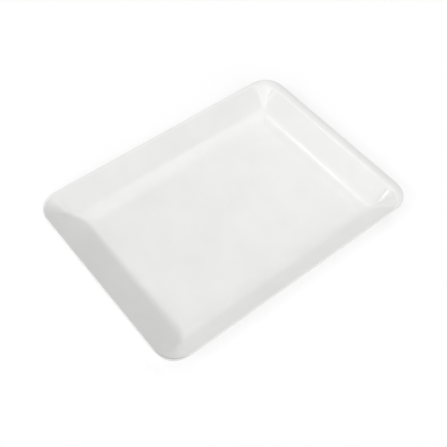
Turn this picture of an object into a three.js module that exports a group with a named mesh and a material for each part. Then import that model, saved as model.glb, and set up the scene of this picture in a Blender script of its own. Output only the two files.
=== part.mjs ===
// A shallow rectangular tray pressed from one sheet of white polystyrene foam.
// Millimetres, +Z up. The origin is under the middle of the tray, on the surface that it rests on.
// +X runs along the long side.
//
// The sheet is one closed skin, lofted through a row of rounded rectangles. Each ring of the loft
// lies at one height, and its inset from the rim's edge is read off four sections, one per side.
import * as THREE from "three";

// The size over the rim, and the hollow inside.
const TRAY_LENGTH = 220;
const TRAY_WIDTH = 160;
const HOLLOW_DEPTH = 15.6;

// The foam sheet: thick in the floor, thinner in the walls, and pressed thin at the rim.
const FLOOR_THICKNESS = 3.4;
const RIM_THICKNESS = 1.8;
const TRAY_HEIGHT = HOLLOW_DEPTH + FLOOR_THICKNESS;

// Corners, seen from above: the outer one, and the tightest one that the walls draw in to.
const RIM_CORNER_RADIUS = 17.3;
const INNER_CORNER_RADIUS = 5;
const CORNER_SOFTNESS = 4;

// The section through the middle of each side: the flat lip's width, the radius of the roll from
// the lip down into the wall, the inset at which the wall's foot meets the floor, and the foot's
// radius. The rim is trimmed off the hollow's middle, so two sides have next to no lip.
const LEFT = { lip: 0.6, roll: 1, footInset: 31.6, footRadius: 20 };
const RIGHT = { lip: 4.9, roll: 3.5, footInset: 32.2, footRadius: 20 };
const FRONT = { lip: 0.6, roll: 1, footInset: 25.7, footRadius: 18 };
const BACK = { lip: 2.1, roll: 1.5, footInset: 28.7, footRadius: 18 };

// The roll under the rim, and the rounding of the trimmed edge.
const UNDER_ROLL_RADIUS = 1;
const EDGE_RADIUS = 0.6;

// How finely the round stretches are divided.
const CORNER_STEPS = 14;
const EDGE_STEPS = 3;
const ROLL_STEPS = 5;
const FOOT_STEPS = 9;

const FOAM_COLOUR = 0xf1f2ee;

// One face of the sheet, its upper or its under one: how deep below the rim's top it starts and
// ends, and what the foot's radius grows by. The under face has the same roll on every side.
const UPPER_FACE = { top: 0, bottom: HOLLOW_DEPTH, roll: null, grow: 0 };
const UNDER_FACE = {
  top: RIM_THICKNESS,
  bottom: TRAY_HEIGHT,
  roll: UNDER_ROLL_RADIUS,
  grow: FLOOR_THICKNESS,
};

// The section of one side on one face, with the slope of the straight wall that touches both the
// roll at the lip and the foot at the floor.
function sectionOf(side, face) {
  const roll = face.roll ?? side.roll;
  const foot = side.footRadius + face.grow;
  const run = side.footInset - side.lip;
  const drop = face.bottom - face.top;
  const excess = 2 * (roll + foot) - drop;
  const slope = 2 * Math.atan((run - Math.sqrt(run * run - drop * excess)) / excess);
  return { roll, foot, slope };
}

// The inset from the rim's edge at which a face reaches a depth, on one side. From the lip the
// section is a convex roll, then a straight wall, then a concave foot down to the floor.
function insetAt(depth, side, face) {
  const { roll, foot, slope } = sectionOf(side, face);
  const footTop = face.bottom - foot * (1 - Math.cos(slope));
  if (depth > footTop) {
    const turn = Math.acos(Math.min(1, 1 - (face.bottom - depth) / foot));
    return side.footInset - foot * Math.sin(turn);
  }
  const rollEnd = face.top + roll * (1 - Math.cos(slope));
  if (depth < rollEnd) {
    const turn = Math.acos(Math.min(1, 1 - (depth - face.top) / roll));
    return side.lip + roll * Math.sin(turn);
  }
  return side.lip + roll * Math.sin(slope) + (depth - rollEnd) / Math.tan(slope);
}

// The corner radius of a ring: it shrinks with the inset, and eases out at the inner radius.
function cornerRadius(inset) {
  const excess = RIM_CORNER_RADIUS - inset - INNER_CORNER_RADIUS;
  const eased = (excess + Math.hypot(excess, CORNER_SOFTNESS)) / 2;
  return Math.min(RIM_CORNER_RADIUS - inset / 4, INNER_CORNER_RADIUS + eased);
}

// A ring of the loft: a rounded rectangle at one depth below the rim's top, at its own inset from
// each side.
function ring(insets, depth) {
  const { left, right, front, back } = insets;
  const radius = cornerRadius((left + right + front + back) / 4);
  const points = [];
  for (let quarter = 0; quarter < 4; quarter++) {
    const atRight = quarter === 0 || quarter === 3;
    const centreX = TRAY_LENGTH / 2 - radius - (atRight ? right : left);
    const centreY = TRAY_WIDTH / 2 - radius - (quarter < 2 ? back : front);
    for (let step = 0; step <= CORNER_STEPS; step++) {
      const angle = ((quarter + step / CORNER_STEPS) * Math.PI) / 2;
      const x = (atRight ? centreX : -centreX) + radius * Math.cos(angle);
      const y = (quarter < 2 ? centreY : -centreY) + radius * Math.sin(angle);
      points.push(new THREE.Vector3(x, y, TRAY_HEIGHT - depth));
    }
  }
  return points;
}

// The rings of one face from where its roll starts down to the floor. The depths follow equal
// turns round the widest roll and round the foot of the steepest side.
function faceRings(face) {
  const wide = sectionOf(RIGHT, face);
  const steep = sectionOf(BACK, face);
  const depths = [];
  for (let step = 0; step <= ROLL_STEPS; step++) {
    depths.push(face.top + wide.roll * (1 - Math.cos((wide.slope * step) / ROLL_STEPS)));
  }
  for (let step = FOOT_STEPS; step >= 0; step--) {
    depths.push(face.bottom - steep.foot * (1 - Math.cos((steep.slope * step) / FOOT_STEPS)));
  }
  return depths.map((depth) => {
    const left = insetAt(depth, LEFT, face);
    const right = insetAt(depth, RIGHT, face);
    const front = insetAt(depth, FRONT, face);
    const back = insetAt(depth, BACK, face);
    return ring({ left, right, front, back }, depth);
  });
}

// The rim's trimmed edge from its top face to its under one, with both its corners rounded.
function edgeRings() {
  const over = [];
  const under = [];
  for (let step = 0; step <= EDGE_STEPS; step++) {
    const turn = ((step / EDGE_STEPS) * Math.PI) / 2;
    const inset = EDGE_RADIUS * (1 - Math.sin(turn));
    const depth = EDGE_RADIUS * (1 - Math.cos(turn));
    const insets = { left: inset, right: inset, front: inset, back: inset };
    over.push(ring(insets, depth));
    under.unshift(ring(insets, RIM_THICKNESS - depth));
  }
  return [...over, ...under];
}

// Joins the rings into one closed skin, with a fan of triangles over each end.
function loft(rings) {
  const size = rings[0].length;
  const positions = rings.flat().flatMap((point) => point.toArray());
  const index = [];
  for (let row = 0; row + 1 < rings.length; row++) {
    for (let step = 0; step < size; step++) {
      const next = (step + 1) % size;
      const [a, b] = [row * size + step, row * size + next];
      const [c, d] = [a + size, b + size];
      index.push(a, c, b, b, c, d);
    }
  }
  const firstCentre = positions.length / 3;
  const lastCentre = firstCentre + 1;
  const lastRow = (rings.length - 1) * size;
  positions.push(0, 0, rings[0][0].z);
  positions.push(0, 0, rings[rings.length - 1][0].z);
  for (let step = 0; step < size; step++) {
    const next = (step + 1) % size;
    index.push(firstCentre, step, next);
    index.push(lastCentre, lastRow + next, lastRow + step);
  }
  const geometry = new THREE.BufferGeometry();
  geometry.setAttribute("position", new THREE.Float32BufferAttribute(positions, 3));
  geometry.setIndex(index);
  geometry.computeVertexNormals();
  return geometry;
}

const foam = new THREE.MeshStandardMaterial({
  color: FOAM_COLOUR,
  roughness: 0.45,
  metalness: 0,
});

// From the middle of the inner floor up the wall, over the rim and down to the middle of the base.
const skinRings = [...faceRings(UPPER_FACE).reverse(), ...edgeRings(), ...faceRings(UNDER_FACE)];
const tray = new THREE.Mesh(loft(skinRings), foam);
tray.name = "tray";

const part = new THREE.Group();
part.add(tray);
export default part;
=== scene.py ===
import math

import bpy
from mathutils import Matrix, Vector, noise as value_noise


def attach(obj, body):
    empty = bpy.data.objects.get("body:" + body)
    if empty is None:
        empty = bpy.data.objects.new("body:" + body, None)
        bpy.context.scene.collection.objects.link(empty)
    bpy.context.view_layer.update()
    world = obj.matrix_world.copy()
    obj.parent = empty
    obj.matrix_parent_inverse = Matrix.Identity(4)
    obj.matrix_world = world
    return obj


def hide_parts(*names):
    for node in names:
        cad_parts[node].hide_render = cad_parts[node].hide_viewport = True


MM = 0.001

# The tray, in millimetres. Its outline and height are its solid's, and its radii are finer. Each
# side has a section: the flat lip's width, the radius of the roll from the lip down into the wall,
# the inset at which the wall's foot meets the floor, and the foot's radius.
TRAY_LENGTH = 220
TRAY_WIDTH = 160
HOLLOW_DEPTH = 15.6
FLOOR_THICKNESS = 3.4
RIM_THICKNESS = 1.8
TRAY_HEIGHT = HOLLOW_DEPTH + FLOOR_THICKNESS
RIM_CORNER_RADIUS = 17.3
INNER_CORNER_RADIUS = 2.5
CORNER_SOFTNESS = 3
LEFT = {"lip": 0.4, "roll": 0.8, "foot_inset": 31.6, "foot_radius": 20}
RIGHT = {"lip": 5.2, "roll": 5, "foot_inset": 32.2, "foot_radius": 20}
FRONT = {"lip": 0.4, "roll": 0.8, "foot_inset": 25.7, "foot_radius": 18}
BACK = {"lip": 2.1, "roll": 1.2, "foot_inset": 31.2, "foot_radius": 24}
SIDES = (LEFT, RIGHT, FRONT, BACK)
UNDER_ROLL_RADIUS = 1
EDGE_RADIUS = 0.35

# How finely the skin is divided. The steps along a side are shorter next to its corners, by up to
# this share.
CORNER_STEPS = 32
SIDE_STEPS = (84, 60)
SIDE_CROWDING = 0.8
ROLL_STEPS = 10
WALL_STEPS = 12
FOOT_STEPS = 18
FLOOR_STEPS = 24
EDGE_STEPS = 5

# The sheet isn't quite flat: how far its faces swell and sink, how wide the swells are, and how
# high and how much narrower the finer ones on them are. They set in at an inset from the rim, and
# reach their full height over a stretch. The underside is raised by a share of their height, so
# that it stays on the base, and it is swollen like another part of the same pattern.
SWELL_HEIGHT = 0.11
SWELL_WIDTH = 34
FINE_SWELL_SHARE = 0.4
FINE_SWELL_RATIO = 2.7
SWELL_INSET = 6
SWELL_STRETCH = 12
UNDER_LIFT = 0.7
UNDER_PATTERN_SHIFT = 28
DEPTH_SQUEEZE = 0.5

# The lips at the right and at the back sag towards their trimmed edges, with this mean slope and
# this curve.
LIP_SLOPE = 0.1
LIP_CURVE = 1.5

# In each corner two slight creases run down where the walls meet the corner. Each goes from one
# place to another, given as the insets from the rim's end and from its long side. It loses a share
# of its height on the way. Above a depth below the rim's top it fades out.
CREASES = (((15.8, 6.2), (18.4, 14.4)), ((9.4, 16.6), (17.4, 16.4)))
CREASE_HEIGHT = 0.4
CREASE_WIDTH = 1.4
CREASE_LOSS = 0.5
CREASE_DEPTH = 2

# The sheet's two faces: how deep below the rim's top each starts and ends, and what the foot's
# radius grows by. The under face has a roll of its own, the same on every side.
UPPER_FACE = {"top": 0, "bottom": HOLLOW_DEPTH, "grow": 0}
UNDER_FACE = {
    "top": RIM_THICKNESS,
    "bottom": TRAY_HEIGHT,
    "roll": UNDER_ROLL_RADIUS,
    "grow": FLOOR_THICKNESS,
}

# The material slots of the skin.
SKIN_SLOT = 0
CUT_SLOT = 1


def section_of(side, face):
    """Roll radius, foot radius and the slope of the straight wall that touches both."""
    roll = face.get("roll", side["roll"])
    foot = side["foot_radius"] + face["grow"]
    run = side["foot_inset"] - side["lip"]
    drop = face["bottom"] - face["top"]
    excess = 2 * (roll + foot) - drop
    slope = 2 * math.atan((run - math.sqrt(run * run - drop * excess)) / excess)
    return roll, foot, slope


def inset_at(depth, side, face):
    """The inset from the rim's edge at which a face reaches a depth below the rim's top."""
    roll, foot, slope = section_of(side, face)
    foot_top = face["bottom"] - foot * (1 - math.cos(slope))
    roll_end = face["top"] + roll * (1 - math.cos(slope))
    if depth > foot_top:
        turn = math.acos(min(1, 1 - (face["bottom"] - depth) / foot))
        return side["foot_inset"] - foot * math.sin(turn)
    if depth < roll_end:
        turn = math.acos(min(1, 1 - (depth - face["top"]) / roll))
        return side["lip"] + roll * math.sin(turn)
    return side["lip"] + roll * math.sin(slope) + (depth - roll_end) / math.tan(slope)


def corner_radius(inset):
    """The corner radius of a ring.

    It shrinks by a quarter of the inset next to the rim, and eases out at the inner radius.
    """
    excess = RIM_CORNER_RADIUS - inset - INNER_CORNER_RADIUS
    above_inner = (excess + math.hypot(excess, CORNER_SOFTNESS)) / 2
    return min(RIM_CORNER_RADIUS - inset / 4, INNER_CORNER_RADIUS + above_inner)


def ring(insets, depth):
    """A rounded rectangle of points at one depth. It goes round counter-clockwise from +X."""
    left, right, front, back = insets
    radius = corner_radius(sum(insets) / 4)
    arcs = []
    for quarter in range(4):
        sign_x = 1 if quarter in (0, 3) else -1
        sign_y = 1 if quarter < 2 else -1
        centre_x = sign_x * (TRAY_LENGTH / 2 - radius - (right if sign_x > 0 else left))
        centre_y = sign_y * (TRAY_WIDTH / 2 - radius - (back if sign_y > 0 else front))
        arc = []
        for step in range(CORNER_STEPS + 1):
            angle = (quarter + step / CORNER_STEPS) * math.pi / 2
            x = centre_x + radius * math.cos(angle)
            y = centre_y + radius * math.sin(angle)
            arc.append((x, y))
        arcs.append(arc)
    outline = []
    for quarter, arc in enumerate(arcs):
        end = arcs[(quarter + 1) % 4][0]
        count = SIDE_STEPS[quarter % 2]
        outline += arc
        outline += [mixed(arc[-1], end, crowded(step / count)) for step in range(1, count)]
    return [(x, y, TRAY_HEIGHT - depth) for x, y in outline]


def crowded(share):
    """The share of the way along a side, with shorter steps next to its corners."""
    return share - SIDE_CROWDING * math.sin(2 * math.pi * share) / (2 * math.pi)


def mixed(start, end, share):
    """The place at a share of the way from one point to another."""
    return tuple(a + (b - a) * share for a, b in zip(start, end))


def face_rings(face):
    """The rings of one face, from where its roll starts down to the floor's edge.

    The depths follow equal turns round the widest roll and round the widest foot.
    """
    roll, _, roll_slope = section_of(RIGHT, face)
    _, foot, foot_slope = section_of(BACK, face)
    roll_end = face["top"] + roll * (1 - math.cos(roll_slope))
    foot_top = face["bottom"] - foot * (1 - math.cos(foot_slope))
    depths = [
        face["top"] + roll * (1 - math.cos(roll_slope * step / ROLL_STEPS))
        for step in range(ROLL_STEPS + 1)
    ]
    depths += [
        roll_end + (foot_top - roll_end) * step / WALL_STEPS for step in range(1, WALL_STEPS)
    ]
    depths += [
        face["bottom"] - foot * (1 - math.cos(foot_slope * step / FOOT_STEPS))
        for step in range(FOOT_STEPS, -1, -1)
    ]
    return [ring([inset_at(d, side, face) for side in SIDES], d) for d in depths]


def floor_rings(edge):
    """Ever smaller copies of the floor's edge, towards its middle."""
    shares = [1 - step / FLOOR_STEPS for step in range(1, FLOOR_STEPS)]
    return [[(x * share, y * share, z) for x, y, z in edge] for share in shares]


def edge_rings():
    """The rim's trimmed edge, rounded over above and below."""
    rings = []
    for step in range(EDGE_STEPS + 1):
        turn = step / EDGE_STEPS * math.pi / 2
        inset = EDGE_RADIUS * (1 - math.sin(turn))
        rings.append(ring([inset] * 4, EDGE_RADIUS * (1 - math.cos(turn))))
    for step in range(EDGE_STEPS + 1):
        turn = step / EDGE_STEPS * math.pi / 2
        inset = EDGE_RADIUS * (1 - math.cos(turn))
        rings.append(ring([inset] * 4, RIM_THICKNESS - EDGE_RADIUS * (1 - math.sin(turn))))
    return rings


def swell(x, y, z, lift=0, shift=0):
    """How far the sheet's face swells up at a place. It stays flat near the rim."""
    inset = min(TRAY_LENGTH / 2 - abs(x), TRAY_WIDTH / 2 - abs(y))
    fade = min(1, max(0, (inset - SWELL_INSET) / SWELL_STRETCH))
    place = Vector((x, y, z * DEPTH_SQUEEZE + shift)) / SWELL_WIDTH
    fine = FINE_SWELL_SHARE * value_noise.noise(place * FINE_SWELL_RATIO)
    return SWELL_HEIGHT * fade * (value_noise.noise(place) + fine + lift)


def crease(x, y, z):
    """How high the corner's creases stand at a place. They fade out towards the rim's top."""
    place = Vector((TRAY_LENGTH / 2 - abs(x), TRAY_WIDTH / 2 - abs(y)))
    height = 0
    for start, end in CREASES:
        start = Vector(start)
        along = Vector(end) - start
        share = min(1, max(0, (place - start).dot(along) / along.length_squared))
        distance = (place - start - along * share).length / CREASE_WIDTH
        height = max(height, (1 - CREASE_LOSS * share) * math.exp(-distance * distance))
    return CREASE_HEIGHT * height * min(1, (TRAY_HEIGHT - z) / CREASE_DEPTH)


def sag(x, y):
    """How far the lip hangs at a place."""
    insets = ((RIGHT["lip"], TRAY_LENGTH / 2 - x), (BACK["lip"], TRAY_WIDTH / 2 - y))
    return max(LIP_SLOPE * lip * max(0, 1 - inset / lip) ** LIP_CURVE for lip, inset in insets)


def raised(rings, height_at):
    """The rings, with every point moved up by the height at its place."""
    return [[(x, y, z + height_at(x, y, z)) for x, y, z in points] for points in rings]


def skin_mesh():
    """The closed skin: the upper side, the cut edge and the underside, with two material slots."""
    upper = face_rings(UPPER_FACE)
    under = face_rings(UNDER_FACE)
    cut = edge_rings()
    over = floor_rings(upper[-1])[::-1] + upper[::-1]
    below = under + floor_rings(under[-1])
    over = raised(over, lambda x, y, z: swell(x, y, z) + crease(x, y, z))
    below = raised(below, lambda x, y, z: swell(x, y, z, UNDER_LIFT, UNDER_PATTERN_SHIFT))
    rings = raised(over + cut + below, lambda x, y, z: -sag(x, y))
    size = len(rings[0])
    vertices = [Vector(point) * MM for points in rings for point in points]
    faces = []
    slots = []
    for row in range(len(rings) - 1):
        is_cut = len(over) < row < len(over) + len(cut) - 2
        for step in range(size):
            a = row * size + step
            b = row * size + (step + 1) % size
            faces.append((a, a + size, b + size, b))
            slots.append(CUT_SLOT if is_cut else SKIN_SLOT)
    # A fan of triangles closes the skin in the middle of the floor and of the base.
    for row, order in ((0, 1), (len(rings) - 1, -1)):
        centre = len(vertices)
        vertices.append(Vector((0, 0, rings[row][0][2])) * MM)
        for step in range(size):
            pair = (row * size + step, row * size + (step + 1) % size)[::order]
            faces.append((centre, *pair))
            slots.append(SKIN_SLOT)
    mesh = bpy.data.meshes.new("foam_tray")
    mesh.from_pydata(vertices, [], faces)
    mesh.polygons.foreach_set("material_index", slots)
    mesh.update()
    mesh.shade_smooth()
    return mesh


# The skin's pattern: how many blotches, rubbed patches, dimples and cells there are to a metre,
# and the tints, the roughness and the relief in metres that they give it.
BLOTCHES_PER_METRE = 30
MILKY_TINTS = ((0.842, 0.847, 0.836), (0.88, 0.883, 0.872))
PATCHES_PER_METRE = 90
SKIN_ROUGHNESS = (0.21, 0.26)
DIMPLES_PER_METRE = 420
DIMPLE_RELIEF = 0.00001
SKIN_CELLS_PER_METRE = 1500
SKIN_CELL_RELIEF = 0.000012

# The cut edge's pattern, likewise. Its tints are darker than the skin's as painted shade on the
# edge, and darkest in the middle of each open cell as painted shade in the cells' hollows.
CUT_CELLS_PER_METRE = 1900
CUT_SHADE_TINTS = ((0.74, 0.745, 0.735), (0.79, 0.793, 0.782))
CUT_ROUGHNESS = 0.7
CUT_CELL_RELIEF = 0.00003


def scaled_to_object(nodes, links, texture, per_metre):
    """Lays a texture out in the object's own coordinates, with a number of units to a metre."""
    texture.inputs["Scale"].default_value = per_metre
    place = nodes.new("ShaderNodeTexCoord")
    links.new(place.outputs["Object"], texture.inputs["Vector"])


def noise(nodes, links, per_metre, detail, roughness=0.5):
    """Smooth noise, from 0 to 1."""
    texture = nodes.new("ShaderNodeTexNoise")
    texture.inputs["Detail"].default_value = detail
    texture.inputs["Roughness"].default_value = roughness
    scaled_to_object(nodes, links, texture, per_metre)
    return texture.outputs["Fac"]


def remapped(nodes, links, value, source, target=(0, 1)):
    """The value, with the source range spread over the target range and clamped there."""
    spread = nodes.new("ShaderNodeMapRange")
    spread.inputs["From Min"].default_value, spread.inputs["From Max"].default_value = source
    spread.inputs["To Min"].default_value, spread.inputs["To Max"].default_value = target
    links.new(value, spread.inputs["Value"])
    return spread.outputs["Result"]


def bump(nodes, links, height, distance, under=None):
    """A bump whose full height is that distance, in metres, laid over another one."""
    relief = nodes.new("ShaderNodeBump")
    relief.inputs["Distance"].default_value = distance
    links.new(height, relief.inputs["Height"])
    if under:
        links.new(under, relief.inputs["Normal"])
    return relief.outputs["Normal"]


def cell_pattern(nodes, links, per_metre):
    """Closed foam cells: 0 in the middle of a cell and higher at its walls."""
    cells = nodes.new("ShaderNodeTexVoronoi")
    cells.feature = "SMOOTH_F1"
    cells.inputs["Smoothness"].default_value = 0.5
    scaled_to_object(nodes, links, cells, per_metre)
    return cells.outputs["Distance"]


def new_material(name):
    """A material with its nodes, its links and its shader."""
    material = bpy.data.materials.new(name)
    material.use_nodes = True
    tree = material.node_tree
    return material, tree.nodes, tree.links, tree.nodes["Principled BSDF"]


def tinted(nodes, links, factor, tints):
    """A colour between two tints."""
    low, high = tints
    tint = nodes.new("ShaderNodeMix")
    tint.data_type = "RGBA"
    tint.inputs["A"].default_value = (*low, 1)
    tint.inputs["B"].default_value = (*high, 1)
    links.new(factor, tint.inputs["Factor"])
    return tint.outputs["Result"]


def foam_skin():
    """The pressed skin: white and slightly glossy, with milky blotches and fine closed cells."""
    material, nodes, links, shader = new_material("foam_skin")
    blotches = noise(nodes, links, BLOTCHES_PER_METRE, detail=5, roughness=0.6)
    milky = remapped(nodes, links, blotches, (0.33, 0.67))
    links.new(tinted(nodes, links, milky, MILKY_TINTS), shader.inputs["Base Color"])
    rubbed = noise(nodes, links, PATCHES_PER_METRE, detail=4)
    gloss = remapped(nodes, links, rubbed, (0.3, 0.7), SKIN_ROUGHNESS)
    links.new(gloss, shader.inputs["Roughness"])
    dimples = noise(nodes, links, DIMPLES_PER_METRE, detail=2)
    relief = bump(nodes, links, dimples, DIMPLE_RELIEF)
    cells = cell_pattern(nodes, links, SKIN_CELLS_PER_METRE)
    relief = bump(nodes, links, cells, SKIN_CELL_RELIEF, relief)
    links.new(relief, shader.inputs["Normal"])
    return material


def foam_cut():
    """The trimmed edge: cut cells, open and matt, in painted shade: darker than the skin, and
    darkest in the cells' hollows.
    """
    material, nodes, links, shader = new_material("foam_cut")
    cells = cell_pattern(nodes, links, CUT_CELLS_PER_METRE)
    # Painted shade: the cut is darker than the skin, and darkest in the middle of each open cell.
    depth = remapped(nodes, links, cells, (0.1, 0.7))
    links.new(tinted(nodes, links, depth, CUT_SHADE_TINTS), shader.inputs["Base Color"])
    shader.inputs["Roughness"].default_value = CUT_ROUGHNESS
    links.new(bump(nodes, links, cells, CUT_CELL_RELIEF), shader.inputs["Normal"])
    return material


# The studio's floor: half its width and how far it lies under the tray's base, in metres, and how
# light it is. It glows a little, so that the tray's shadow on it stays faint.
FLOOR_HALF = 30
FLOOR_GAP = 0.0002
FLOOR_SHADE = 0.6
FLOOR_GLOW = 0.43


def add_floor():
    """A wide matt white floor."""
    mesh = bpy.data.meshes.new("studio_floor")
    signs = ((-1, -1), (1, -1), (1, 1), (-1, 1))
    corners = [(FLOOR_HALF * x, FLOOR_HALF * y, 0) for x, y in signs]
    mesh.from_pydata(corners, [], [(0, 1, 2, 3)])
    material, _, _, shader = new_material("studio_floor")
    shader.inputs["Base Color"].default_value = (FLOOR_SHADE, FLOOR_SHADE, FLOOR_SHADE, 1)
    shader.inputs["Roughness"].default_value = 1
    shader.inputs["Specular IOR Level"].default_value = 0
    shader.inputs["Emission Color"].default_value = (1, 1, 1, 1)
    shader.inputs["Emission Strength"].default_value = FLOOR_GLOW
    mesh.materials.append(material)
    floor = bpy.data.objects.new("studio_floor", mesh)
    floor.location.z = -FLOOR_GAP
    bpy.context.collection.objects.link(floor)


def add_sun(name, azimuth, elevation, spread, strength):
    """A soft far light. The angles, in degrees, are where it shines from and how wide it is."""
    light = bpy.data.lights.new(name, "SUN")
    light.angle = math.radians(spread)
    light.energy = strength
    lamp = bpy.data.objects.new(name, light)
    flat = math.cos(math.radians(elevation))
    towards = Vector(
        (
            flat * math.cos(math.radians(azimuth)),
            flat * math.sin(math.radians(azimuth)),
            math.sin(math.radians(elevation)),
        )
    )
    lamp.rotation_mode = "QUATERNION"
    lamp.rotation_quaternion = towards.to_track_quat("Z", "Y")
    bpy.context.collection.objects.link(lamp)


# How bright the studio around the tray is.
STUDIO_GLOW = 0.02


def add_lights():
    """Broad soft lights, small ones for the shine of the foot and the roll, and a dark studio."""
    add_sun("overhead", 0, 90, 110, 0.56)
    add_sun("front_low", 250, 25, 60, 1.12)
    add_sun("left_box", 180, 40, 42, 0.25)
    add_sun("left_top", 185, 62, 50, 0.34)
    add_sun("left_spot", 177, 40, 10, 0.25)
    add_sun("front_spot", 262, 47, 10, 0.15)
    add_sun("low_left", 200, 20, 50, 0.59)
    add_sun("low_back", 80, 20, 50, 0.75)
    add_sun("back_box", 45, 41, 20, 0.15)
    add_sun("foot_right", 20, 65, 30, 0.28)
    add_sun("foot_front", 337, 64, 24, 0.12)
    add_sun("roll_front", 320, 58, 16, 0.14)
    add_sun("glint", 125, 60, 9, 0.17)
    world = bpy.data.worlds.new("studio")
    bpy.context.scene.world = world
    world.use_nodes = True
    background = world.node_tree.nodes["Background"]
    background.inputs["Color"].default_value = (1, 1, 1, 1)
    background.inputs["Strength"].default_value = STUDIO_GLOW


# The camera's place over the middle of the rim, in millimetres, and its right and back directions.
# The focal length is in pixels of the photo, which is square.
CAMERA_PLACE = Vector((-213.7, -236.0, 413.8))
CAMERA_RIGHT = Vector((0.77677, -0.62866, 0.03753))
CAMERA_BACK = Vector((-0.39031, -0.43379, 0.81208))
FOCAL_PIXELS = 730.5
PHOTO_PIXELS = 447
SENSOR_WIDTH = 36
CLIP_START = 0.01


def add_camera():
    """The camera of the photo's view."""
    camera = bpy.data.cameras.new("photo_view")
    camera.sensor_width = SENSOR_WIDTH
    camera.lens = FOCAL_PIXELS / PHOTO_PIXELS * SENSOR_WIDTH
    camera.clip_start = CLIP_START
    viewer = bpy.data.objects.new("photo_view", camera)
    up = CAMERA_BACK.cross(CAMERA_RIGHT)
    turn = Matrix((CAMERA_RIGHT, up, CAMERA_BACK)).transposed().to_4x4()
    place = (CAMERA_PLACE + Vector((0, 0, TRAY_HEIGHT))) * MM
    viewer.matrix_world = Matrix.Translation(place) @ turn
    bpy.context.collection.objects.link(viewer)
    bpy.context.scene.camera = viewer


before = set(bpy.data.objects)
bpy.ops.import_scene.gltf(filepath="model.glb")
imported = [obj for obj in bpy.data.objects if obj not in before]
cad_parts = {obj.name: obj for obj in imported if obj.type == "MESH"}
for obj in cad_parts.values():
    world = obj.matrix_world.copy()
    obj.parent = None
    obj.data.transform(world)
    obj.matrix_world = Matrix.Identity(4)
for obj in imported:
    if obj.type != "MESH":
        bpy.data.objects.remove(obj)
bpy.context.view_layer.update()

tray = bpy.data.objects.new("foam_tray", skin_mesh())
bpy.context.collection.objects.link(tray)
tray.data.materials.append(foam_skin())
tray.data.materials.append(foam_cut())
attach(tray, "root")
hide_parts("tray")

add_floor()
add_lights()
add_camera()
bpy.context.scene.view_settings.view_transform = "Standard"
